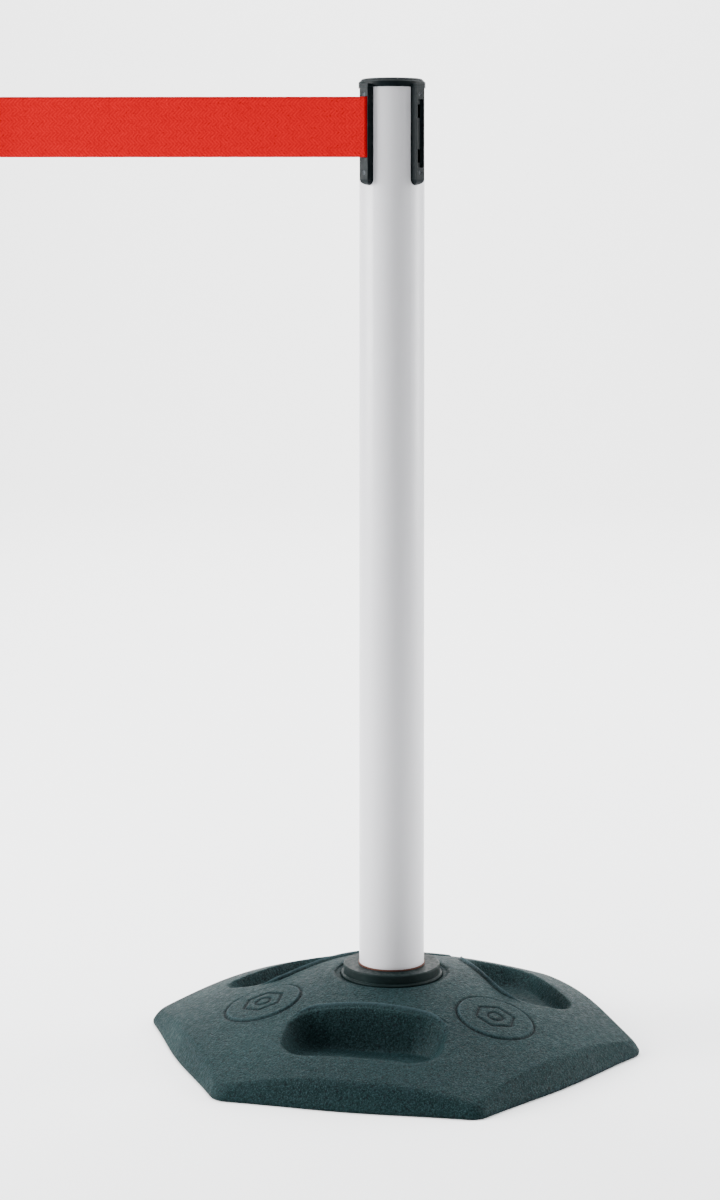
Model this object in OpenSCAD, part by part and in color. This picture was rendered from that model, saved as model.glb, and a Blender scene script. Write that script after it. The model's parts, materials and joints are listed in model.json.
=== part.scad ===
// Retractable-belt barrier post on a hexagonal rubber base.
// Millimetres. Z is up, the origin is the centre of the base's underside, the belt outlet faces -X.

/* [Post tube] */
// Outside diameter of the tube
tube_d = 63.5; // [60:0.5:66]
// Wall thickness of the tube
tube_wall = 1.8; // [1.5:0.1:2]
// Height of the tube's lower end
tube_bottom = 76.8; // [76:0.2:84]
// Height of the tube's upper end
tube_top = 932; // [880:1:1000]

/* [Rubber base] */
// Distance from the axis to the middle of each side
base_apothem = 213.5; // [190:0.5:230]
// How far each side bows out at its middle
side_bow = 4.5; // [0:0.5:8]
// Height of the upright lip round the edge
lip_h = 4; // [3:0.5:10]
// Height of the top of the dome
dome_h = 66.5; // [60:0.5:70]
// Turn of the base about the post, against the head
base_turn = 3.6; // [0:0.2:60]

/* [Belt] */
// Width of the webbing
belt_w = 58; // [50:1:60]
// Thickness of the webbing
belt_t = 0.6; // [0.4:0.1:0.8]
// Length of webbing outside the post
belt_out = 372; // [60:1:600]
// Angle between the belt and the outlet's own direction
belt_angle = 45; // [0:1:60]

/* [Head] */
// Width of each rail
rail_w = 11; // [10:0.5:12]
// Distance from the axis to the rail faces
rail_face = 38.6; // [37:0.1:39]

/* [Hidden] */
$fn = 72;
eps = 0.01;

tube_r = tube_d / 2;
bore_r = tube_r - tube_wall;
pocket_dirs = [90, -30, -150];

// The top is a round dome that steepens outwards, cut by six steep flanks
dome_flat_r = 60;
dome_slope = 0.23;
dome_curve = 0.0004;
flank_slope = 1.8;
edge_corner_r = 20;
floor_bevel = 1.5;
// Rings of points, as shares of the way from the axis to the edge
ring_shares = [1, 0.985, 0.965, 0.945, 0.92, 0.88, 0.82, 0.74, 0.65, 0.55, 0.45, 0.35, 0.27];
ring_points = 96;

pocket_r = 135;
pocket_half_l = 43;
pocket_floor = 20;
pocket_floor_r = 27;
pocket_top_r = 42;
pocket_top = 74;

recess_rim_r = 54.9;
recess_rim_z = 64.6;
collar_seat_r = 50.3;
collar_seat_z = 62.5;
collar_top = 75.4;
collar_top_r = 46.3;
collar_low_r = 49.6;

plate_r = 44;
plate_low = 11;
plate_t = 4;
bolt_r = 5.95;
bolt_af = 19;
bolt_head_t = 7.5;
washer_t = 2;
nut_low = 102;
nut_t = 10.8;
bolt_end = nut_low + nut_t + 5;
plug_top = 120;
spigot_r = 20;

rail_bottom = 837.7;
rail_gap = 0.3;
rail_end_r = 6;
neck_in = 27.6;
recess_w = 7.6;
recess_low = 854.2;
recess_high = 920;
recess_floor = 36.4;
ledge_back = 34.6;
cavity_back = 30.5;
cavity_w = 6.6;
window_w = 5;
window_h = 13;
window_low = [859, 902];
screw_z = [849.4, 924.6];
screw_head_r = 2;
screw_shank_r = 1.1;
screw_end = 25.9;
rail_dirs = [0, 90, 180, 270];
ring_r = 32.6;
ring_top = 938.6;
cap_top = 940.8;

belt_mid = 893.2;
belt_low = belt_mid - belt_w / 2;
belt_high = belt_mid + belt_w / 2;

shell_r = 27.4;
shell_in = 26;
shell_low = 836;
shell_high = 927.6;
lid_top = 930;
axle_r = 3;
axle_head_r = 4.5;
bush_r = 5;
bush_bore = 3.04;
hub_r = 6.8;
flange_r = 20.6;
flange_t = 1.2;
coil_r = 18.6;
spring_low = 840;
spring_h = 17;
case_r = 24.5;
arbor_r = 6.2;
spring_r = 21.5;
spring_turns = 7;

roller_at = [-22.6, -5.8];
roller_r = 2.2;
roller_pin_r = 1.0;

// Where the belt leaves the outlet: in line with the roller's far side
mouth = [-rail_face, roller_at.y + roller_r + 0.12 + belt_t / 2];
belt_dir = 180 - belt_angle;

// Clip, in its own frame: x runs away from the post, from the loop pin
clip_len = 27;
clip_t = 11.6;
clip_h = 66;
clip_low = belt_mid - clip_h / 2;
barrel_r = 3.3;
nose_len = 1.9;
nose_w = 7;
nose_low = 857;
nose_high = 912;
hook_w = 4.4;
hook_h = 7.5;
hook_gap = 2.3;
hook_reach = 6;
hook_drop = 4;
hook_low = [860, 903];
latch_z = [914.2, 919.6];
clip_screw_z = [870, 908];

// ---------- shared shapes ----------

module pipe(r_out, r_in, low, high) {
    translate([0, 0, low])
        difference() {
            cylinder(r = r_out, h = high - low);
            translate([0, 0, -1]) cylinder(r = r_in, h = high - low + 2);
        }
}

module disc(r, low, high) {
    translate([0, 0, low]) cylinder(r = r, h = high - low);
}

// A box from x0 to x1, w wide about y = 0, from z0 to z1
module slab(x0, x1, w, z0, z1) {
    translate([x0, -w / 2, z0]) cube([x1 - x0, w, z1 - z0]);
}

module hexagon_bar(across_flats, low, high) {
    translate([0, 0, low]) cylinder(r = across_flats / 2 / cos(30), h = high - low, $fn = 6);
}

// ---------- rubber base ----------

// Distance from the axis to a rounded hexagon's outline, corners at 0, 60, 120 degrees
function hexagon_reach(apothem, corner_r, angle) =
    let (
        off_side = abs((angle + 360) % 60 - 30),
        arc_at = (apothem - corner_r) / cos(30),
        side_ends = atan((apothem - corner_r) * tan(30) / apothem),
        off_corner = 30 - off_side
    )
    side_bow * pow(cos(3 * off_side), 2) + (off_side <= side_ends
        ? apothem / cos(off_side)
        : arc_at * cos(off_corner) + sqrt(pow(corner_r, 2) - pow(arc_at * sin(off_corner), 2)));

function round_top(r) =
    let (past = max(r - dome_flat_r, 0)) dome_h - dome_slope * past - dome_curve * pow(past, 2);

function top_height(reach, share) =
    min(round_top(reach * share), lip_h + flank_slope * base_apothem * (1 - share));

// One ring of the top at a share of the way to the edge
function top_ring(share) = [
    for (i = [0 : ring_points - 1])
        let (angle = 360 * i / ring_points, reach = hexagon_reach(base_apothem, edge_corner_r, angle))
        [reach * share * cos(angle), reach * share * sin(angle), top_height(reach, share)]
];

// One ring of the upright edge, inset by the bevel at the floor
function edge_ring(inset, height) = [
    for (i = [0 : ring_points - 1])
        let (angle = 360 * i / ring_points,
            reach = hexagon_reach(base_apothem - inset, edge_corner_r - inset, angle))
        [reach * cos(angle), reach * sin(angle), height]
];

module dome() {
    n = ring_points;
    rings = concat([edge_ring(floor_bevel, 0), edge_ring(0, floor_bevel)],
        [for (share = ring_shares) top_ring(share)]);
    top = len(rings) - 1;
    points = [for (ring = rings) each ring];
    sides = [for (k = [0 : top - 1], i = [0 : n - 1])
        let (a = k * n + i, b = k * n + (i + 1) % n)
        each [[a, a + n, b + n], [a, b + n, b]]];
    ends = [[for (i = [0 : n - 1]) i], [for (i = [n - 1 : -1 : 0]) top * n + i]];
    polyhedron(points, concat(sides, ends));
}

module hand_pocket() {
    hull()
        for (side = [-1, 1])
            translate([pocket_r, side * pocket_half_l, pocket_floor])
                cylinder(r1 = pocket_floor_r, r2 = pocket_top_r, h = pocket_top - pocket_floor, $fn = 32);
}

module rubber_base() {
    color("#3d4a4b")
        difference() {
            rotate([0, 0, base_turn]) dome();
            for (a = pocket_dirs) rotate([0, 0, a + base_turn]) hand_pocket();
            disc(recess_rim_r, recess_rim_z, dome_h + 1);
            disc(collar_seat_r, collar_seat_z, dome_h + 1);
            disc(plate_r + 1, -1, plate_low + plate_t);
            disc(bolt_r + 1, -1, dome_h);
        }
}

module clamp_plate() {
    color("silver") pipe(plate_r, bolt_r + 0.5, plate_low, plate_low + plate_t);
}

module lock_washer() {
    color("silver")
        difference() {
            pipe(10.5, bolt_r + 0.15, plate_low - washer_t, plate_low);
            slab(bolt_r - 1, 12, 1.2, 0, plate_low + 1);
        }
}

module base_bolt() {
    head_top = plate_low - washer_t;
    color("silver") {
        hexagon_bar(bolt_af, head_top - bolt_head_t, head_top);
        disc(bolt_r, head_top - eps, bolt_end);
    }
}

module collar() {
    chamfer = 0.8;
    color("#24292a")
        rotate_extrude()
            polygon([[spigot_r + 0.2, collar_seat_z], [collar_low_r, collar_seat_z],
                [collar_low_r, collar_seat_z + 3.4], [collar_low_r - 0.6, collar_seat_z + 4],
                [collar_top_r + 1.2, collar_seat_z + 4.4], [collar_top_r + chamfer, collar_top - chamfer],
                [collar_top_r, collar_top], [spigot_r + 0.2, collar_top]]);
}

module seal_ring() {
    color("#4a302b") pipe(tube_r + 0.9, spigot_r + 0.2, collar_top, tube_bottom);
}

module foot_plug() {
    color("#24292a")
        difference() {
            union() {
                disc(spigot_r, collar_seat_z + 1, tube_bottom + 1);
                disc(bore_r, tube_bottom, plug_top);
            }
            disc(bolt_r + 0.3, 0, plug_top + 1);
            hexagon_bar(bolt_af + 0.2, nut_low, plug_top + 1);
        }
}

module captive_nut() {
    color("silver")
        difference() {
            hexagon_bar(bolt_af, nut_low, nut_low + nut_t);
            disc(bolt_r + 0.05, 0, bolt_end);
        }
}

// ---------- tube and head ----------

module post_tube() {
    color("#d4d2d6")
        difference() {
            pipe(tube_r, bore_r, tube_bottom, tube_top);
            for (a = rail_dirs) rotate([0, 0, a]) {
                slab(20, 40, rail_w + 2 * rail_gap, rail_bottom + rail_w / 2, tube_top + 1);
                translate([20, 0, rail_bottom + rail_w / 2]) rotate([0, 90, 0])
                    cylinder(r = rail_w / 2 + rail_gap, h = 20);
            }
        }
}

// The outer strip of a rail with its round lower end, and the neck that reaches through the tube
module rail_body() {
    difference() {
        union() {
            slab(tube_r - 6, rail_face, rail_w, rail_bottom + rail_w / 2, tube_top);
            translate([tube_r - 6, 0, rail_bottom + rail_w / 2]) rotate([0, 90, 0])
                cylinder(r = rail_w / 2, h = rail_face - tube_r + 6);
        }
        disc(neck_in, rail_bottom - 1, tube_top + 1);
        rail_end_cut();
    }
}

// Takes the lower outer corner off a rail, so that its end is round from the side as well
module rail_end_cut() {
    difference() {
        translate([rail_face - rail_end_r, -rail_w, rail_bottom - 1])
            cube([rail_end_r + 1, 2 * rail_w, rail_end_r + 1]);
        translate([rail_face - rail_end_r, 0, rail_bottom + rail_end_r]) rotate([90, 0, 0])
            cylinder(r = rail_end_r, h = 4 * rail_w, center = true);
    }
}

module rail_screw_holes() {
    for (z = screw_z)
        translate([0, 0, z]) rotate([0, 90, 0]) {
            cylinder(r = screw_shank_r + 0.05, h = rail_face + 1, $fn = 24);
            translate([0, 0, rail_face - 1.4]) cylinder(r = screw_head_r + 0.15, h = 2, $fn = 32);
        }
}

module receiver_rail() {
    difference() {
        rail_body();
        slab(recess_floor, rail_face + 1, recess_w, recess_low, recess_high);
        slab(cavity_back, ledge_back, cavity_w, recess_low + 1, recess_high - 1);
        for (z = window_low) slab(cavity_back, recess_floor + 1, window_w, z, z + window_h);
        rail_screw_holes();
    }
}

module outlet_rail() {
    slot_w = 2.2;
    color("#24292a")
        rotate([0, 0, 180])
            difference() {
                rail_body();
                translate([0, -mouth.y, 0]) {
                    slab(neck_in - 1, rail_face + 1, slot_w, belt_low - 0.5, belt_high + 0.5);
                    translate([rail_face - 1.2, 0, belt_low - 0.5]) linear_extrude(belt_w + 1)
                        polygon([[0, -slot_w / 2], [0, slot_w / 2], [1.3, 1.9], [1.3, -2]]);
                }
                rail_screw_holes();
            }
}

module receiver_right() { color("#24292a") receiver_rail(); }
module receiver_back() { color("#24292a") rotate([0, 0, 90]) receiver_rail(); }
module receiver_front() { color("#24292a") rotate([0, 0, 270]) receiver_rail(); }

module rail_screws() {
    slot = 0.5;
    color("silver")
        for (a = rail_dirs, z = screw_z)
            rotate([0, 0, a]) translate([0, 0, z]) rotate([0, 90, 0])
                difference() {
                    union() {
                        translate([0, 0, screw_end])
                            cylinder(r = screw_shank_r, h = rail_face - 1 - screw_end, $fn = 24);
                        translate([0, 0, rail_face - 1.4]) cylinder(r = screw_head_r, h = 1.2, $fn = 32);
                    }
                    translate([-slot / 2, -3, rail_face - 0.7]) cube([slot, 6, 1]);
                    translate([-3, -slot / 2, rail_face - 0.7]) cube([6, slot, 1]);
                }
}

module head_ring() {
    bevel = 1.2;
    color("#24292a")
        difference() {
            union() {
                disc(ring_r, tube_top, ring_top - bevel);
                translate([0, 0, ring_top - bevel]) cylinder(r1 = ring_r, r2 = ring_r - bevel, h = bevel);
                for (a = [0, 90]) rotate([0, 0, a])
                    slab(-rail_face, rail_face, rail_w, tube_top, ring_top - 3.6);
            }
            disc(27.5, tube_top - 1, ring_top + 1);
        }
}

module top_cap() {
    rim = 27.3;
    color("#24292a")
        difference() {
            union() {
                disc(rim, tube_top - 1.5, ring_top);
                disc(30.6, ring_top, ring_top + 1);
                translate([0, 0, ring_top + 1]) cylinder(r1 = 30.6, r2 = 29, h = cap_top - ring_top - 1);
            }
            disc(rim - 1.6, tube_top - 2, ring_top);
        }
}

// ---------- belt cassette ----------

module cassette_shell() {
    color("#24292a")
        difference() {
            pipe(shell_r, shell_in, shell_low, shell_high);
            translate([0, mouth.y, 0]) slab(-30, -20, 5, belt_low - 2, belt_high + 2);
            for (a = rail_dirs, z = screw_z) rotate([0, 0, a]) translate([20, 0, z]) rotate([0, 90, 0])
                cylinder(r = screw_shank_r + 0.05, h = 10, $fn = 24);
        }
    color("#24292a") pipe(shell_in + 0.5, axle_r + 0.05, shell_low, shell_low + 2);
}

module cassette_lid() {
    color("#24292a")
        difference() {
            disc(shell_r, shell_high, lid_top);
            disc(axle_r + 0.05, shell_high - 1, lid_top + 1);
            translate([roller_at.x, roller_at.y, 0])
                disc(roller_pin_r + 0.03, shell_high - 1, shell_high + 1.2);
        }
}

module spool_axle() {
    color("silver") {
        disc(axle_head_r, shell_low - 2, shell_low);
        disc(axle_r, shell_low - eps, lid_top + 1.6);
    }
}

module axle_clip() {
    color("silver")
        difference() {
            pipe(5.4, axle_r + 0.02, lid_top, lid_top + 0.8);
            slab(0, 8, 3.4, lid_top - 1, lid_top + 2);
        }
}

module spool() {
    color("whitesmoke")
        difference() {
            union() {
                disc(arbor_r, spring_low, belt_low - 2);
                disc(hub_r, belt_low - 2, belt_high + 2);
                disc(flange_r, belt_low - 1 - flange_t, belt_low - 1);
                disc(flange_r, belt_high + 1, belt_high + 1 + flange_t);
            }
            disc(bush_r, spring_low - 1, spring_low + 8);
            disc(bush_r, belt_high - 6, belt_high + 3);
            disc(axle_r + 0.6, spring_low - 1, belt_high + 3);
        }
}

module bush(low, high) {
    color("#b08d57") pipe(bush_r, bush_bore, low, high);
}

module lower_bush() { bush(spring_low, spring_low + 8); }
module upper_bush() { bush(belt_high - 6, belt_high + 2); }

module belt_coil() {
    color("#d8281f") pipe(coil_r, hub_r + 0.05, belt_low, belt_high);
}

// Points along one face of a flat spiral; shift moves it outwards by the strip's thickness
function spiral(r0, r1, turns, steps, shift) = [
    for (i = [0 : turns * steps])
        let (angle = 360 * i / steps, r = r0 + shift + (r1 - r0) * i / (turns * steps))
        [r * cos(angle), r * sin(angle)]
];

module power_spring() {
    strip = 0.7;
    steps = 20;
    inner = spiral(arbor_r, spring_r, spring_turns, steps, 0.1);
    outer = spiral(arbor_r, spring_r, spring_turns, steps, strip);
    color("#6b6f73")
        translate([0, 0, spring_low + 1])
            linear_extrude(spring_h)
                polygon(concat(inner, [for (i = [len(outer) - 1 : -1 : 0]) outer[i]]));
}

module spring_case() {
    color("#24292a") {
        pipe(case_r, case_r - 1.2, shell_low + 2, spring_low + spring_h + 2);
        pipe(case_r - 1, arbor_r + 1, shell_low + 2, spring_low);
    }
}

module spring_cover() {
    top = spring_low + spring_h + 3.2;
    color("#24292a") pipe(case_r, arbor_r + 0.8, spring_low + spring_h + 2, top);
}

module guide_roller() {
    color("whitesmoke")
        translate([roller_at.x, roller_at.y, 0])
            pipe(roller_r, roller_pin_r + 0.05, belt_low - 2.5, belt_high + 2.5);
}

module roller_pin() {
    color("silver")
        translate([roller_at.x, roller_at.y, 0])
            disc(roller_pin_r, spring_low + spring_h + 3.2, shell_high + 1);
}

// Where the belt runs inside: off the coil, round the roller and out of the slot
module belt_inner_run() {
    gap = 0.12;
    wrap_r = roller_r + gap + belt_t / 2;
    leave_r = coil_r + gap + belt_t / 2;
    apart = norm(roller_at);
    to_roller = atan2(roller_at.y, roller_at.x);
    heading = to_roller - asin((wrap_r + leave_r) / apart) + 360;
    off = [sin(heading), -cos(heading)];
    steps = 6;
    line = concat(
        [-leave_r * off],
        [for (i = [0 : steps])
            let (h = heading + (180 - heading) * i / steps)
            roller_at + wrap_r * [sin(h), -cos(h)]],
        [[mouth.x, roller_at.y + wrap_r]]);
    half = belt_t / 2;
    headings = [for (i = [0 : len(line) - 1])
        let (a = line[max(0, i - 1)], b = line[min(len(line) - 1, i + 1)])
        (b - a) / norm(b - a)];
    left = [for (i = [0 : len(line) - 1]) line[i] + half * [-headings[i].y, headings[i].x]];
    right = [for (i = [0 : len(line) - 1]) line[i] - half * [-headings[i].y, headings[i].x]];
    color("#d8281f")
        translate([0, 0, belt_low])
            linear_extrude(belt_w)
                polygon(concat(left, [for (i = [len(right) - 1 : -1 : 0]) right[i]]));
}

// ---------- belt outside and its clip ----------

module from_mouth() {
    translate([mouth.x, mouth.y, 0]) rotate([0, 0, belt_dir]) children();
}

module at_clip() {
    from_mouth() translate([belt_out, 0, 0]) children();
}

module belt_free_run() {
    color("#d8281f") from_mouth() slab(0.5, belt_out - 2.2, belt_t, belt_low, belt_high);
}

module belt_end_loop() {
    color("#d8281f")
        at_clip() {
            pipe(2.1, 1.55, belt_low, belt_high);
            slab(-2.2, -1.8, belt_t, belt_low, belt_high);
        }
}

module clip_pin() {
    color("silver") at_clip() disc(1.5, clip_low + 2, clip_low + clip_h - 2);
}

module clip_outline() {
    half = clip_t / 2;
    circle(r = barrel_r);
    polygon([[0, barrel_r], [0, -barrel_r], [3.4, -half], [clip_len - 1.5, -half], [clip_len, -half + 1.5],
        [clip_len, half - 1.5], [clip_len - 1.5, half], [3.4, half]]);
}

// The whole clip less its hollows; each shell takes one side of it
module clip_solid() {
    difference() {
        union() {
            translate([0, 0, clip_low]) linear_extrude(clip_h) clip_outline();
            slab(clip_len - 1, clip_len + nose_len, nose_w, nose_low, nose_high);
            for (z = hook_low) {
                slab(clip_len + nose_len - 1, clip_len + hook_reach, hook_w, z, z + hook_h);
                slab(clip_len + nose_len + hook_gap, clip_len + hook_reach, hook_w,
                    z - hook_drop, z + hook_h);
            }
        }
        // loop of belt and its pin
        disc(2.3, belt_low - 0.5, belt_high + 0.5);
        slab(-5, 0, 1.4, belt_low - 0.5, belt_high + 0.5);
        disc(1.5, clip_low + 2, clip_low + clip_h - 2);
        // latch channel
        slab(8, clip_len + 2, 5.4, latch_z[0] - 0.3, latch_z[1] + 0.3);
        slab(9, 18.4, clip_t + 2, latch_z[0] - 0.3, latch_z[1] + 0.3);
        // screws
        for (z = clip_screw_z) translate([16, 0, z]) rotate([90, 0, 0]) {
            cylinder(r = 1.35, h = 20, center = true, $fn = 24);
            translate([0, 0, clip_t / 2 - 1.4]) cylinder(r = 2.6, h = 3, $fn = 32);
        }
    }
}

module clip_half(side) {
    color("#24292a")
        at_clip()
            intersection() {
                clip_solid();
                translate([-10, side > 0 ? 0 : -20, 800]) cube([60, 20, 200]);
            }
}

module clip_left_shell() { clip_half(1); }
module clip_right_shell() { clip_half(-1); }

module clip_screws() {
    color("silver")
        at_clip()
            for (z = clip_screw_z) translate([16, 0, z]) rotate([90, 0, 0]) {
                translate([0, 0, 4 - clip_t / 2]) cylinder(r = 1.25, h = clip_t - 5, $fn = 24);
                difference() {
                    translate([0, 0, clip_t / 2 - 1.4]) cylinder(r = 2.45, h = 1.2, $fn = 32);
                    translate([-0.3, -3, clip_t / 2 - 0.8]) cube([0.6, 6, 1]);
                    translate([-3, -0.3, clip_t / 2 - 0.8]) cube([6, 0.6, 1]);
                }
            }
}

module clip_latch() {
    color("#24292a")
        at_clip() {
            slab(13, clip_len + 1.6, 5, latch_z[0], latch_z[1]);
            slab(13, 18, clip_t + 1.6, latch_z[0], latch_z[1]);
        }
}

// A round wire swept along a helix whose axis is x
module coil_wire(x0, x1, r, wire_r, turns, per_turn, sides) {
    n = turns * per_turn;
    points = [for (i = [0 : n], s = [0 : sides - 1])
        let (a = 360 * i / per_turn, b = 360 * s / sides, d = r + wire_r * cos(b))
        [x0 + (x1 - x0) * i / n + wire_r * sin(b), d * cos(a), d * sin(a)]];
    faces = [for (i = [0 : n - 1], s = [0 : sides - 1])
        let (a = i * sides + s, b = i * sides + (s + 1) % sides)
        each [[a, b, b + sides], [a, b + sides, a + sides]]];
    ends = [[for (s = [sides - 1 : -1 : 0]) s], [for (s = [0 : sides - 1]) n * sides + s]];
    polyhedron(points, concat(faces, ends));
}

module latch_spring() {
    color("silver")
        at_clip() translate([0, 0, (latch_z[0] + latch_z[1]) / 2])
            coil_wire(8.4, 12.7, 1.7, 0.25, 4, 12, 6);
}

rubber_base();
clamp_plate();
base_bolt();
lock_washer();
collar();
seal_ring();
foot_plug();
captive_nut();
post_tube();
head_ring();
top_cap();
outlet_rail();
receiver_right();
receiver_back();
receiver_front();
rail_screws();
cassette_shell();
cassette_lid();
spool_axle();
axle_clip();
spool();
belt_coil();
upper_bush();
lower_bush();
power_spring();
spring_case();
spring_cover();
guide_roller();
roller_pin();
belt_inner_run();
belt_free_run();
belt_end_loop();
clip_pin();
clip_left_shell();
clip_right_shell();
clip_screws();
clip_latch();
latch_spring();
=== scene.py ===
import json
import math

import bpy
import numpy as np
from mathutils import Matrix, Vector


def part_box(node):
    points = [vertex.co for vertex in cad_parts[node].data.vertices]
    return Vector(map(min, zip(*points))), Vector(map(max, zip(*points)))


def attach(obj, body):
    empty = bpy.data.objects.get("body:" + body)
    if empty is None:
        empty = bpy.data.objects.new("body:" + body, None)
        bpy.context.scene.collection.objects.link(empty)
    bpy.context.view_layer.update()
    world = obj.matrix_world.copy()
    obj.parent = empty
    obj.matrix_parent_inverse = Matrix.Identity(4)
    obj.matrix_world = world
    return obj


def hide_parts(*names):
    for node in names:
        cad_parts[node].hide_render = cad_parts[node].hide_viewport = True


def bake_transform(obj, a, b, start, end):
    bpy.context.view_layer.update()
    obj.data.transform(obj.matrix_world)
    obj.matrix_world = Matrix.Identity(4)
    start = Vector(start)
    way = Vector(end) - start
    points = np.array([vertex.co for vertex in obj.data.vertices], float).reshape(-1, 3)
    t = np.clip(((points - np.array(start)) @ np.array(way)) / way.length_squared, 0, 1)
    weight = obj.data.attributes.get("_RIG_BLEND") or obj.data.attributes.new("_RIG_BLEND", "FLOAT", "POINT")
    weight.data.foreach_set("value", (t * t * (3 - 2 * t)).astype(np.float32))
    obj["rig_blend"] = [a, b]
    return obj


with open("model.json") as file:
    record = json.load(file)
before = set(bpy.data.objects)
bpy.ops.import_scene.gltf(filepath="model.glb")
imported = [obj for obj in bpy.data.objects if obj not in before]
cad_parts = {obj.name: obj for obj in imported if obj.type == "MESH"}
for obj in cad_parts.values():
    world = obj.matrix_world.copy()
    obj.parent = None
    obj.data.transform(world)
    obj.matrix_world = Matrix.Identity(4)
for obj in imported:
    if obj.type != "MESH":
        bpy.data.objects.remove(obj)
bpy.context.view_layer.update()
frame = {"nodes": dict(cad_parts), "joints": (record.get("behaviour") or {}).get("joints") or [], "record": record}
NODES = frame["nodes"]

VIEW_DIR = math.radians(225)      # where the camera stands, as an angle about the post


# ------------------------------------------------------------------ node helpers
class Graph:
    """A short way to wire shader nodes."""

    def __init__(self, name):
        self.mat = bpy.data.materials.new(name)
        self.mat.use_nodes = True
        self.nodes = self.mat.node_tree.nodes
        self.links = self.mat.node_tree.links
        self.nodes.clear()
        self.out = self.nodes.new("ShaderNodeOutputMaterial")
        self.bsdf = self.nodes.new("ShaderNodeBsdfPrincipled")
        self.links.new(self.bsdf.outputs[0], self.out.inputs[0])

    def put(self, socket, value):
        if isinstance(value, bpy.types.NodeSocket):
            self.links.new(value, socket)
        elif isinstance(value, (tuple, list)) and len(value) == 3 and socket.type == "RGBA":
            socket.default_value = (*value, 1.0)
        else:
            socket.default_value = value

    def node(self, kind, props=None, **inputs):
        n = self.nodes.new(kind)
        for k, v in (props or {}).items():
            setattr(n, k, v)
        for k, v in inputs.items():
            self.put(n.inputs[k.replace("_", " ")], v)
        return n

    def math(self, op, a, b=0.0):
        n = self.nodes.new("ShaderNodeMath")
        n.operation = op
        self.put(n.inputs[0], a)
        self.put(n.inputs[1], b)
        return n.outputs[0]

    def mix(self, fac, a, b):
        """Colour a where fac is 0, b where it is 1."""
        n = self.nodes.new("ShaderNodeMix")
        n.data_type = "RGBA"
        self.put(n.inputs[0], fac)
        self.put(n.inputs[6], a)
        self.put(n.inputs[7], b)
        return n.outputs[2]

    def ramp(self, fac, stops):
        """fac mapped from the first two stops to the last two, and held there."""
        n = self.nodes.new("ShaderNodeMapRange")
        self.put(n.inputs[0], fac)
        for i, v in enumerate(stops):
            n.inputs[i + 1].default_value = v
        return n.outputs[0]

    def coords(self, scale=(1, 1, 1)):
        tc = self.nodes.new("ShaderNodeTexCoord")
        mp = self.nodes.new("ShaderNodeMapping")
        self.links.new(tc.outputs["Object"], mp.inputs[0])
        mp.inputs["Scale"].default_value = scale
        return mp.outputs[0]

    def noise(self, vec, scale, detail=3.0, rough=0.55):
        n = self.node("ShaderNodeTexNoise", Vector=vec, Scale=scale, Detail=detail, Roughness=rough)
        return n.outputs[0]

    def cells(self, vec, scale):
        n = self.node("ShaderNodeTexVoronoi", Vector=vec, Scale=scale)
        return n.outputs["Distance"]

    def bump(self, height, distance, strength, normal=None):
        n = self.node("ShaderNodeBump", Height=height, Distance=distance, Strength=strength)
        if normal is not None:
            self.links.new(normal, n.inputs["Normal"])
        return n.outputs[0]

    def bevel(self, radius, samples=6):
        n = self.nodes.new("ShaderNodeBevel")
        n.samples = samples
        n.inputs["Radius"].default_value = radius
        return n.outputs[0]

    def edge_highlight_mask(self, radius):
        """Mask for the painted edge highlight: 1 along sharp edges, 0 elsewhere, from the difference between
        bevelled and true normals.
        """
        geo = self.nodes.new("ShaderNodeNewGeometry")
        dot = self.nodes.new("ShaderNodeVectorMath")
        dot.operation = "DOT_PRODUCT"
        self.links.new(self.bevel(radius, 4), dot.inputs[0])
        self.links.new(geo.outputs["Normal"], dot.inputs[1])
        return self.ramp(dot.outputs["Value"], (0.99, 0.8, 0.0, 1.0))

    def finish(self, color, rough, normal=None, metallic=0.0, specular=0.5, **extra):
        self.put(self.bsdf.inputs["Base Color"], color)
        self.put(self.bsdf.inputs["Roughness"], rough)
        self.put(self.bsdf.inputs["Metallic"], metallic)
        self.put(self.bsdf.inputs["Specular IOR Level"], specular)
        for k, v in extra.items():
            self.put(self.bsdf.inputs[k.replace("_", " ")], v)
        if normal is not None:
            self.links.new(normal, self.bsdf.inputs["Normal"])
        return self.mat


def rubber_material():
    """Stippled rubber. The mesh's relief is above 0 on beads, which get a painted highlight, and below 0 in
    grooves, which get painted shade.
    """
    g = Graph("moulded_rubber")
    p = g.coords()
    grain = g.noise(p, 900, 2.0, 0.7)
    crumb = g.cells(p, 420)
    broad = g.noise(p, 14, 4.0)
    blotch = g.noise(p, 60, 3.0, 0.6)
    base = g.mix(g.ramp(broad, (0.35, 0.65, 0.0, 1.0)), (0.001, 0.007, 0.007), (0.003, 0.012, 0.012))
    base = g.mix(g.ramp(grain, (0.46, 0.66, 0.0, 0.8)), base, (0.017, 0.037, 0.042))
    base = g.mix(g.ramp(g.noise(p, 420, 2.0), (0.56, 0.66, 0.0, 0.8)), base, (0.001, 0.003, 0.004))
    base = g.mix(g.ramp(blotch, (0.55, 0.8, 0.0, 0.4)), base, (0.008, 0.017, 0.021))
    relief = g.node("ShaderNodeAttribute", {"attribute_name": "relief"}).outputs["Fac"]
    # painted highlight on the beads and on the discs' raised edges
    base = g.mix(g.ramp(relief, (0.0, 1.0, 0.0, 0.6)), base, (0.034, 0.056, 0.064))
    # painted shade in the grooves, the discs' rims and the moulded marks
    base = g.mix(g.ramp(relief, (0.0, -1.0, 0.0, 0.75)), base, (0.001, 0.002, 0.003))
    rough = g.ramp(g.noise(p, 220, 2.0), (0.3, 0.7, 0.50, 0.70))
    n = g.bump(crumb, 0.0008, 0.55)
    n = g.bump(grain, 0.0006, 0.6, n)
    n = g.bump(blotch, 0.0012, 0.35, n)
    return g.finish(base, rough, n, specular=0.05)


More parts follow.
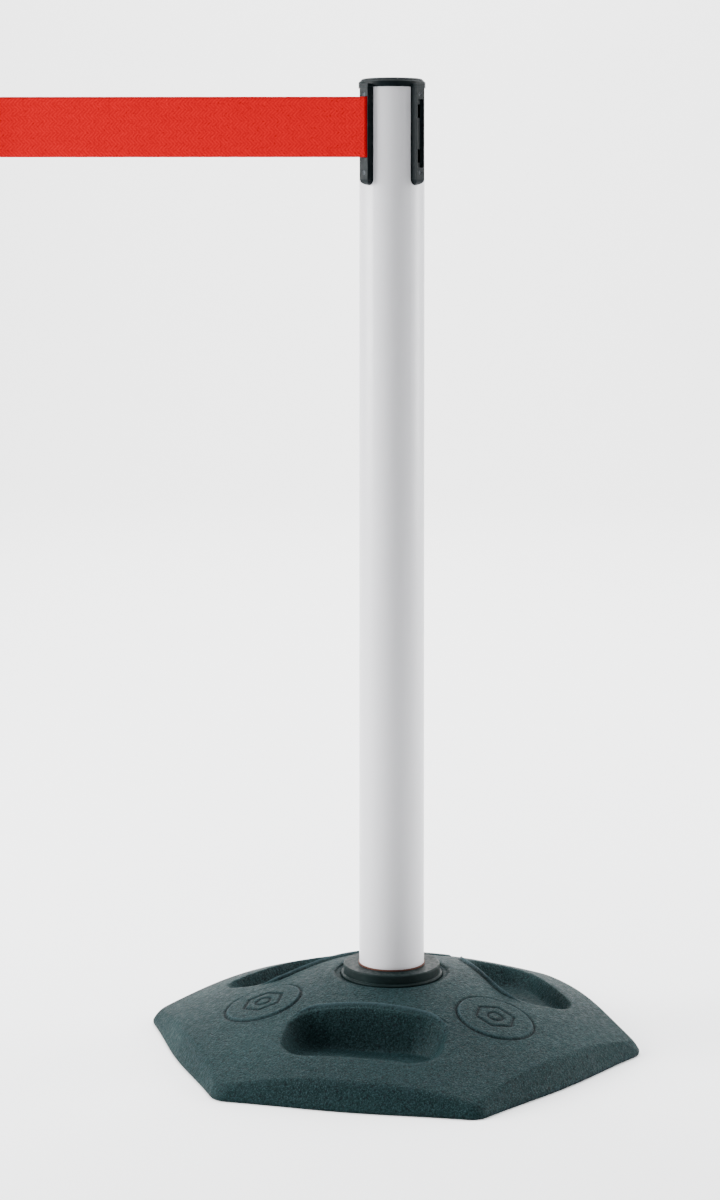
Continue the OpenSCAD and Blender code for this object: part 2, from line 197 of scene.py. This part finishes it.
def tube_material():
    """Light grey powder coat with a faint orange peel."""
    g = Graph("powder_coat_grey")
    p = g.coords()
    peel = g.noise(p, 700, 2.0)
    broad = g.noise(g.coords((1, 1, 0.15)), 9, 3.0)
    base = g.mix(g.ramp(broad, (0.3, 0.7, 0.0, 1.0)), (0.475, 0.475, 0.495), (0.515, 0.515, 0.535))
    base = g.mix(g.ramp(g.noise(p, 1400, 1.0), (0.5, 0.9, 0.0, 0.25)), base, (0.38, 0.38, 0.41))
    rough = g.ramp(g.noise(p, 40, 3.0), (0.3, 0.7, 0.34, 0.46))
    n = g.bump(peel, 0.0002, 0.25, g.bevel(0.0005))
    return g.finish(base, rough, n, specular=0.45, Coat_Weight=0.15, Coat_Roughness=0.25)


def plastic_material(name, dark, light, rough_range, edge):
    """Moulded plastic between two tones, with a painted highlight along its sharp edges."""
    g = Graph(name)
    p = g.coords()
    broad = g.noise(p, 45, 3.0)
    base = g.mix(g.ramp(broad, (0.3, 0.7, 0.0, 1.0)), dark, light)
    # painted highlight along sharp edges
    base = g.mix(g.math("MULTIPLY", g.edge_highlight_mask(0.0006), 0.55), base, edge)
    rough = g.ramp(g.noise(p, 260, 2.0), (0.3, 0.7, *rough_range))
    n = g.bump(g.noise(p, 1600, 2.0, 0.6), 0.00012, 0.5, g.bevel(0.0006))
    return g.finish(base, rough, n, specular=0.06)


def metal_material(name, color, rough=0.3):
    """Metal with fine turning lines and duller spots."""
    g = Graph(name)
    lines = g.noise(g.coords((1, 1, 60)), 400, 2.0)
    spot = g.noise(g.coords(), 120, 3.0)
    tint = tuple(c * 0.72 for c in color)
    base = g.mix(g.ramp(spot, (0.35, 0.75, 0.0, 0.7)), color, tint)
    r = g.ramp(lines, (0.3, 0.7, rough - 0.06, rough + 0.1))
    n = g.bump(lines, 0.00005, 0.35, g.bevel(0.0003))
    return g.finish(base, r, n, metallic=1.0)


def webbing_material():
    """Twill webbing: u runs along the belt and v across it, both in metres."""
    g = Graph("red_webbing")
    uv = g.nodes.new("ShaderNodeUVMap")
    uv.uv_map = "weave"
    sep = g.node("ShaderNodeSeparateXYZ", Vector=uv.outputs[0])
    u, v = sep.outputs[0], sep.outputs[1]
    yarn = 0.0011                 # width of one lengthwise yarn
    pick = 0.0009                 # step from one crosswise yarn to the next
    turn_back = 0.0055            # the herringbone's diagonal turns back at this width
    selvedge = 0.0275             # from the belt's middle to its denser edge
    across = g.math("SINE", g.math("MULTIPLY", v, 2 * math.pi / yarn))
    fold = g.math("PINGPONG", v, turn_back)
    diag = g.math("SINE", g.math("MULTIPLY", g.math("ADD", u, fold), 2 * math.pi / (4 * pick)))
    along = g.math("SINE", g.math("MULTIPLY", u, 2 * math.pi / pick))
    slub = g.noise(g.node("ShaderNodeCombineXYZ", X=g.math("MULTIPLY", u, 120.0),
                          Y=g.math("MULTIPLY", v, 700.0)).outputs[0], 1.0, 3.0, 0.65)
    fleck = g.noise(g.node("ShaderNodeCombineXYZ", X=g.math("MULTIPLY", u, 420.0),
                           Y=g.math("MULTIPLY", v, 420.0)).outputs[0], 1.0, 2.0, 0.6)
    weave = g.math("ADD", g.math("MULTIPLY", across, 0.35),
                   g.math("ADD", g.math("MULTIPLY", diag, 0.45), g.math("MULTIPLY", along, 0.2)))
    tone = g.ramp(weave, (-0.9, 0.9, 0.0, 1.0))
    base = g.mix(tone, (0.39, 0.0, 0.004), (0.62, 0.0, 0.007))
    base = g.mix(g.ramp(fleck, (0.55, 0.75, 0.0, 0.6)), base, (0.20, 0.001, 0.001))
    base = g.mix(g.ramp(slub, (0.6, 0.85, 0.0, 0.35)), base, (0.62, 0.006, 0.010))
    edge = g.math("GREATER_THAN", g.math("ABSOLUTE", v), selvedge)
    base = g.mix(g.math("MULTIPLY", edge, 0.35), base, (0.26, 0.001, 0.001))
    height = g.math("ADD", weave, g.math("MULTIPLY", slub, 0.6))
    n = g.bump(height, 0.00016, 0.7)
    return g.finish(base, g.ramp(tone, (0.0, 1.0, 0.62, 0.74)), n, specular=0.02)


RUBBER = rubber_material()
TUBE = tube_material()
BLACK = plastic_material("black_plastic", (0.001, 0.003, 0.004), (0.003, 0.006, 0.007),
                         (0.34, 0.5), (0.03, 0.042, 0.045))
COLLAR = plastic_material("collar_plastic", (0.002, 0.006, 0.006), (0.004, 0.010, 0.010),
                          (0.38, 0.55), (0.04, 0.055, 0.055))
# the seal under the tube is coloured brown as a painted reflection of the tube in the collar's glossy top
GASKET_PAINTED_REFLECTION = plastic_material("gasket_painted_reflection", (0.060, 0.028, 0.022), (0.085, 0.040, 0.031),
                          (0.45, 0.6), (0.12, 0.06, 0.05))
WHITE = plastic_material("white_acetal", (0.60, 0.60, 0.57), (0.66, 0.66, 0.63),
                         (0.3, 0.4), (0.75, 0.75, 0.72))
ZINC = metal_material("zinc_plate", (0.55, 0.56, 0.58))
BLUED = metal_material("blued_spring", (0.20, 0.21, 0.24), 0.35)
BLACKED = metal_material("black_screws", (0.018, 0.020, 0.022), 0.35)
BRONZE = metal_material("sintered_bronze", (0.50, 0.32, 0.15), 0.45)
WEBBING = webbing_material()

BY_SLOT = {"rubber": RUBBER, "steel_zinc": ZINC, "black_plastic": BLACK, "gasket": GASKET_PAINTED_REFLECTION,
           "tube_paint": TUBE, "white_plastic": WHITE, "bronze": BRONZE, "spring_steel": BLUED,
           "black_steel": BLACKED, "webbing": WEBBING}


def dress_cad():
    """Gives each CAD node the finish its record slot asks for."""
    slots = {s["node"]: s["material_slot"] for s in frame["record"]["subparts"]}
    for name, obj in NODES.items():
        mat = COLLAR if name == "collar" else BY_SLOT[slots[name]]
        for s in obj.material_slots:
            s.material = mat


dress_cad()


# ------------------------------------------------------------------ mesh helpers
def add_mesh(name, verts, faces, mat):
    me = bpy.data.meshes.new(name)
    me.from_pydata([tuple(map(float, v)) for v in verts], [], faces)
    me.materials.append(mat)
    me.polygons.foreach_set("use_smooth", [True] * len(me.polygons))
    me.update()
    ob = bpy.data.objects.new(name, me)
    bpy.context.scene.collection.objects.link(ob)
    return ob


def smoothstep(lo, hi, x):
    """0 at lo, 1 at hi and smooth between; lo may be the larger."""
    t = np.clip((x - lo) / (hi - lo), 0.0, 1.0)
    return t * t * (3 - 2 * t)


# ------------------------------------------------------------------ rubber base, sizes in metres
BASE_TURN = math.radians(3.6)     # the base's turn against the head
BASE_APOTHEM = 0.2135
BASE_CORNER = 0.020
SIDE_BOW = 0.0045                 # how far the middle of a side bows out


def outline(phi, apothem=BASE_APOTHEM, corner=BASE_CORNER, bow=SIDE_BOW):
    """Distance from the axis to the rounded hexagon, corners at 0, 60, 120 degrees."""
    off_side = np.abs(np.mod(phi, math.pi / 3) - math.pi / 6)
    arc_at = (apothem - corner) / math.cos(math.pi / 6)
    side_end = math.atan((apothem - corner) * math.tan(math.pi / 6) / apothem)
    off_corner = math.pi / 6 - off_side
    flat = apothem / np.cos(off_side)
    root = np.sqrt(np.maximum(corner ** 2 - (arc_at * np.sin(off_corner)) ** 2, 0))
    straight = np.where(off_side <= side_end, flat, arc_at * np.cos(off_corner) + root)
    return straight + bow * np.cos(3 * off_side) ** 2


DOME_TOP = 0.0665
DOME_FLAT_R = 0.060
DOME_SLOPE = 0.23
DOME_CURVE = 0.4                  # per metre
FLANK_LOW = 0.004                 # height of the edge's upright part
FLANK_SLOPE = 1.8
CREASE_SOFT = 0.005               # blend between dome and flank
POCKETS = (90, -30, -150)         # directions in the base's own frame, in degrees
POCKET_MID = 0.133
POCKET_HALF_R = 0.0380            # half the pocket's size away from the post
POCKET_HALF_T = 0.077             # and across
POCKET_FLOOR = 0.019
FLOOR_RISE = 0.3                  # how the floor rises to the pocket's ends, per metre
POCKET_BOW = 0.005                # how far the ends of the inner edge bend round the post
WALL_NEAR = 0.008                 # the wall's width seen from above: near the post, far from it, at the ends
WALL_FAR = 0.007
WALL_END = 0.017
# beads and grooves: how high or deep, and how far to either side they fade out
BEAD_HIGH, BEAD_HALF = 0.0032, 0.0012
GROOVE_DEEP, GROOVE_HALF = 0.0014, 0.0011
LIP_DROP, LIP_HALF = 0.0005, 0.0018
DISCS = (-90, 30, 150)
DISC_MID = 0.131
DISC_R = 0.035
DISC_RISE = 0.0012
MARK_HEX, MARK_RING = 0.0165, 0.0070   # the mark's hexagon and ring, from the disc's middle
MARK_DEEP, MARK_HALF = 0.0016, 0.0014
RIM_DEEP, RIM_HALF = 0.0016, 0.0012


def dome(r):
    """Height of the round dome at a distance from the axis; it steepens outwards."""
    past = np.maximum(r - DOME_FLAT_R, 0)
    return DOME_TOP - DOME_SLOPE * past - DOME_CURVE * past ** 2


def soft_min(a, b, k):
    """The smaller of a and b, rounded over k where they cross."""
    h = np.clip(0.5 + 0.5 * (b - a) / k, 0, 1)
    return b * (1 - h) + a * h - k * h * (1 - h)


def pocket_depth(rad, tan):
    """(share of the way down to the pocket's floor, signed distance to its edge)."""
    u = rad - POCKET_MID
    inner = u < 0
    round_r = np.where(inner, 0.027, 0.030)
    bow = POCKET_BOW * (tan / POCKET_HALF_T) ** 2
    outer_u = u + 0.5 * bow * np.clip(u / POCKET_HALF_R, 0, 1)
    v = np.where(inner, u - bow * np.clip(-u / POCKET_HALF_R, 0, 1), outer_u)
    qx = np.abs(v) - (POCKET_HALF_R - round_r)
    qy = np.abs(tan) - (POCKET_HALF_T - round_r)
    outside = np.hypot(np.maximum(qx, 0), np.maximum(qy, 0))
    sd = outside + np.minimum(np.maximum(qx, qy), 0) - round_r
    end = smoothstep(0.50, 0.80, np.abs(tan) / POCKET_HALF_T)
    wall = np.where(inner, WALL_NEAR, WALL_FAR + 0.002 * smoothstep(0, 0.7, u / POCKET_HALF_R))
    wall = wall * (1 - end) + WALL_END * end
    t = np.clip(-sd / wall, 0, 1)
    # steep at the edge, then rounding into the floor
    return 0.35 * smoothstep(0, 1, t) + 0.65 * (1 - (1 - t) ** 2), sd


def ridge(distance, width):
    """1 where distance is 0, fading to 0 on both sides."""
    return np.exp(-(distance / width) ** 2)


def turned(x, y, degrees):
    """x and y in a frame turned about the post: away from the post, and across."""
    c, s = math.cos(math.radians(degrees)), math.sin(math.radians(degrees))
    return x * c + y * s, -x * s + y * c


def base_top(x, y):
    """(height, relief) of the base's top. relief is above 0 on beads and below 0 in grooves; the rubber paints a
    highlight and shade from it.
    """
    inside = (1 - np.hypot(x, y) / outline(np.arctan2(y, x))) * BASE_APOTHEM
    z = soft_min(dome(np.hypot(x, y)), FLANK_LOW + FLANK_SLOPE * inside, CREASE_SOFT)
    relief = z * 0
    for direction in POCKETS:
        rad, tan = turned(x, y, direction)
        down, sd = pocket_depth(rad, tan)
        outward = rad > 0
        down = np.where(outward, down, 0)
        floor = POCKET_FLOOR + FLOOR_RISE * tan ** 2
        z = z * (1 - down) + np.minimum(floor, z) * down
        # a bead with a groove behind it, along the edge nearest the post
        along = smoothstep(0.078, 0.062, np.abs(tan)) * (rad < POCKET_MID) * outward
        bead = ridge(sd - 0.0050, BEAD_HALF) * along
        groove = ridge(sd - 0.0078, GROOVE_HALF) * along
        lip = ridge(sd - 0.0005, LIP_HALF) * outward
        z = z + BEAD_HIGH * bead - GROOVE_DEEP * groove - LIP_DROP * lip
        # the bead's relief gives it a painted highlight, the groove's painted shade
        relief = relief + bead - groove
    for direction in DISCS:
        rad, tan = turned(x, y, direction)
        cx, cy = rad - DISC_MID, tan
        d = np.hypot(cx, cy)
        # moulded mark: a plain six-sided outline round a ring
        hexagon = ridge(d - outline(np.arctan2(cy, cx), MARK_HEX, 0.002, 0.0), MARK_HALF)
        mark = hexagon + ridge(d - MARK_RING, MARK_HALF)
        rim = ridge(d - DISC_R - 0.0020, RIM_HALF)
        raised = DISC_RISE * smoothstep(DISC_R + 0.0015, DISC_R - 0.0010, d)
        z = z + raised - RIM_DEEP * rim - MARK_DEEP * mark
        # rim and mark take painted shade, the disc's raised edge a painted highlight
        relief = relief - rim - mark + 0.5 * ridge(d - DISC_R + 0.0004, 0.0010)
    return z, relief


# (radius, height) from the collar's seat outwards to its rim
SEAT = ((0.0460, 0.0625), (0.0497, 0.0625), (0.0503, 0.0629), (0.0503, 0.0640), (0.0508, 0.0646),
        (0.0544, 0.0646), (0.0549, 0.0650))
# (inset from the outline, height) round the lower edge
LOWER_EDGE = ((0.0, 0.0026), (0.0004, 0.0011), (0.0014, 0.0002), (0.0026, 0.0))
# (radius, height) of the recess for plate and bolt, and of the bolt's bore
RECESS = ((0.047, 0.0), (0.045, 0.002), (0.045, 0.015), (0.0075, 0.015), (0.0075, 0.0625))


def build_base():
    """The base as closed rings: seat, top, edge, underside, recess and bore."""
    na = 840
    phi = np.arange(na) * 2 * math.pi / na
    rings = []
    relief = {}
    for r, z in SEAT:
        rings.append((np.full(na, r), np.full(na, z)))
    edge = outline(phi)
    first = SEAT[-1][0] + 0.0003
    # the rings lie closest where the pockets, beads and discs are
    detail_in, detail_out = 0.084, 0.176
    parts = [np.linspace(0, 1, 16)[:-1], np.linspace(1, 2, 130)[:-1], np.linspace(2, 3, 46)]
    steps = np.concatenate(parts)
    for k, step in enumerate(steps):
        r = np.interp(step, (0, 1, 2), (first, detail_in, detail_out)) + edge * 0
        r = np.where(step > 2, detail_out + (edge - detail_out) * (step - 2), r)
        z, tint = base_top(r * np.cos(phi), r * np.sin(phi))
        if k == 0:
            z = z - 0.0005        # the dome's small round towards the rim
        relief[len(rings)] = tint
        rings.append((r, z))
    for inset, z in LOWER_EDGE:
        rings.append((outline(phi, BASE_APOTHEM - inset, BASE_CORNER - inset), np.full(na, z)))
    for r, z in RECESS:
        rings.append((np.full(na, r), np.full(na, z)))
    ct, st = np.cos(phi + BASE_TURN), np.sin(phi + BASE_TURN)
    verts = np.concatenate([np.c_[r * ct, r * st, z] for r, z in rings])
    n = len(rings)
    faces = []
    for k in range(n):
        k2 = (k + 1) % n
        for i in range(na):
            j = (i + 1) % na
            faces.append((k * na + i, k2 * na + i, k2 * na + j, k * na + j))
    ob = add_mesh("base_rubber", verts, faces, RUBBER)
    tints = np.concatenate([relief.get(k, np.zeros(na)) for k in range(n)])
    ob.data.attributes.new("relief", "FLOAT", "POINT").data.foreach_set("value", tints.astype(np.float32))
    return ob


base = build_base()
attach(base, "post")
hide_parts("rubber_base")


# ------------------------------------------------------------------ belt
def belt_frame():
    """Where the outside run starts, its direction, and its lower and upper edge, as in CAD."""
    lo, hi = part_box("belt_free_run")
    joint = next(j for j in frame["joints"] if j["name"] == "belt_swing")
    mouth = Vector(joint["pos_m"])
    ahead = Vector(next(j for j in frame["joints"] if j["name"] == "belt_pull")["axis"])
    return mouth, ahead.normalized(), lo[2], hi[2]


def build_belt():
    """The outside run as thin closed webbing, with thinner and slightly wavy edges."""
    mouth, ahead, z_lo, z_hi = belt_frame()
    across = Vector((0, 0, 1))
    side = across.cross(ahead)
    z_mid, half = (z_lo + z_hi) / 2, (z_hi - z_lo) / 2
    length = 0.3700
    half_thick = 0.0003
    gap = 0.0002                  # between the mouth and the run's first ring
    nu, nv = 240, 20              # steps along and across
    verts, uvs, faces = [], [], []
    for face in (1, -1):
        for i in range(nu + 1):
            s = length * i / nu
            for k in range(nv + 1):
                v = -half + 2 * half * k / nv
                ripple = 0.00008 * math.sin(s * 160 + 3 * math.sin(s * 21)) * abs(v / half) ** 3
                t = half_thick * (1 - 0.55 * abs(v / half) ** 10)
                p = Vector((mouth.x, mouth.y, z_mid)) + ahead * (s + gap) + across * v
                p += side * (face * t + ripple)
                verts.append(p)
                uvs.append((s, v))
    row = nv + 1
    block = (nu + 1) * row
    for i in range(nu):
        for k in range(nv):
            a = i * row + k
            faces.append((a, a + row, a + row + 1, a + 1))
            b = block + a
            faces.append((b, b + 1, b + row + 1, b + row))
    for i in range(nu):
        a, b = i * row, block + i * row
        faces.append((a, b, b + row, a + row))
        a, b = i * row + nv, block + i * row + nv
        faces.append((a, a + row, b + row, b))
    for k in range(nv):
        faces.append((k, k + 1, block + k + 1, block + k))
        a = nu * row + k
        faces.append((a, block + a, block + a + 1, a + 1))
    ob = add_mesh("belt_webbing", verts, faces, WEBBING)
    layer = ob.data.uv_layers.new(name="weave")
    for loop in ob.data.loops:
        layer.data[loop.index].uv = uvs[loop.vertex_index]
    return ob, mouth, ahead, length, z_mid


def even_blend(ob, start, span):
    """Makes a blended piece stretch evenly along span, from its first body to its second."""
    weights = ob.data.attributes["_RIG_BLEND"]
    for i, v in enumerate(ob.data.vertices):
        share = (v.co - start).dot(span) / span.length_squared
        weights.data[i].value = min(1.0, max(0.0, share))


belt, mouth, ahead, belt_length, belt_mid = build_belt()
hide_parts("belt_free_run")
start = Vector((mouth.x, mouth.y, belt_mid))
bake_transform(belt, "belt_run", "belt_end", start=tuple(start), end=tuple(start + ahead * belt_length))
even_blend(belt, start, ahead * belt_length)


def build_latch_spring():
    """The clip's small spring, as in CAD, but pressed shorter as the lock slide moves in."""
    source = NODES["latch_spring"]
    mesh = source.data.copy()
    mesh.transform(source.matrix_world)
    ob = bpy.data.objects.new("spring_of_latch", mesh)
    bpy.context.scene.collection.objects.link(ob)
    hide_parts("latch_spring")
    along = [v.co.dot(ahead) for v in mesh.vertices]
    fixed_end = ahead * min(along)
    length = ahead * (max(along) - min(along))
    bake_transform(ob, "belt_end", "latch", start=tuple(fixed_end), end=tuple(fixed_end + length))
    even_blend(ob, fixed_end, length)


build_latch_spring()


# ------------------------------------------------------------------ floor, lights, camera
BACK = VIEW_DIR + math.pi         # straight away from the camera
FLOOR_END = 5.2                   # where the floor starts to curve up behind the post
FLOOR_NEAR = -7
FLOOR_HALF_W = 8
WALL_BEND = 1.5
WALL_TOP = 6


def build_floor():
    """A pale floor that curves up into a wall behind the post."""
    g = Graph("pale_floor")
    tone = g.mix(g.noise(g.coords(), 3.0), (0.93, 0.93, 0.93), (0.95, 0.95, 0.95))
    g.finish(tone, 0.6, specular=0.2)
    n = 24
    steps = [(FLOOR_NEAR, 0)]
    for i in range(n + 1):
        a = math.pi / 2 * i / n
        steps.append((FLOOR_END + WALL_BEND * math.sin(a), WALL_BEND - WALL_BEND * math.cos(a)))
    steps.append((FLOOR_END + WALL_BEND, WALL_TOP))
    away = Vector((math.cos(BACK), math.sin(BACK), 0))
    aside = Vector((-away.y, away.x, 0))
    sides = (-FLOOR_HALF_W, FLOOR_HALF_W)
    verts = [away * d + aside * s + Vector((0, 0, z)) for d, z in steps for s in sides]
    faces = [(2 * i, 2 * i + 1, 2 * i + 3, 2 * i + 2) for i in range(len(steps) - 1)]
    ob = add_mesh("studio_floor", verts, faces, g.mat)


build_floor()


def area_light(name, angle, distance, height, size, power, color=(1, 1, 1), target=(0, 0, 0.45)):
    """A soft light. Its angle is counted from the camera, positive to the camera's right."""
    data = bpy.data.lights.new(name, "AREA")
    data.shape = "RECTANGLE"
    data.size, data.size_y = size
    data.energy = power
    data.color = color
    ob = bpy.data.objects.new(name, data)
    a = VIEW_DIR + math.radians(angle)
    ob.location = (distance * math.cos(a), distance * math.sin(a), height)
    look = Vector(target) - ob.location
    ob.rotation_euler = look.to_track_quat("-Z", "Y").to_euler()
    bpy.context.scene.collection.objects.link(ob)


wall_point = (6.0 * math.cos(BACK), 6.0 * math.sin(BACK), 1.0)
area_light("key_left", -84, 2.5, 1.3, (1.4, 1.8), 240)
area_light("fill_right", 104, 2.7, 1.2, (1.4, 2.0), 140)
area_light("top_soft", 180, 0.5, 3.0, (2.6, 2.6), 100, (0.92, 0.96, 1.0), (0, 0, 0))
area_light("wall_wash", 180, 2.6, 4.6, (5.0, 1.5), 900, (1, 1, 1), wall_point)

world = bpy.data.worlds.new("studio")
bpy.context.scene.world = world
world.use_nodes = True
sky = world.node_tree.nodes["Background"]
sky.inputs["Color"].default_value = (1.0, 1.0, 1.0, 1.0)
sky.inputs["Strength"].default_value = 0.6


def build_camera():
    """The photo's camera, as solved from the base's outline, the tube's edges and the head."""
    cam = bpy.data.cameras.new("camera")
    ob = bpy.data.objects.new("camera", cam)
    bpy.context.scene.collection.objects.link(ob)
    distance, height = 2.43, 0.777
    yaw = 0.0128                  # as a slope, to the left
    cam.sensor_width = 36
    cam.lens = 74.85
    cam.clip_end = 50
    pitch = math.radians(2.0)
    ob.location = (distance * math.cos(VIEW_DIR), distance * math.sin(VIEW_DIR), height)
    look = Vector((-math.cos(VIEW_DIR), -math.sin(VIEW_DIR), 0))
    right = Vector((look.y, -look.x, 0))
    look = look - right * yaw
    look = (look.normalized() * math.cos(pitch) + Vector((0, 0, -math.sin(pitch)))).normalized()
    ob.rotation_euler = look.to_track_quat("-Z", "Y").to_euler()
    cam.shift_y = -0.2207
    bpy.context.scene.camera = ob


build_camera()
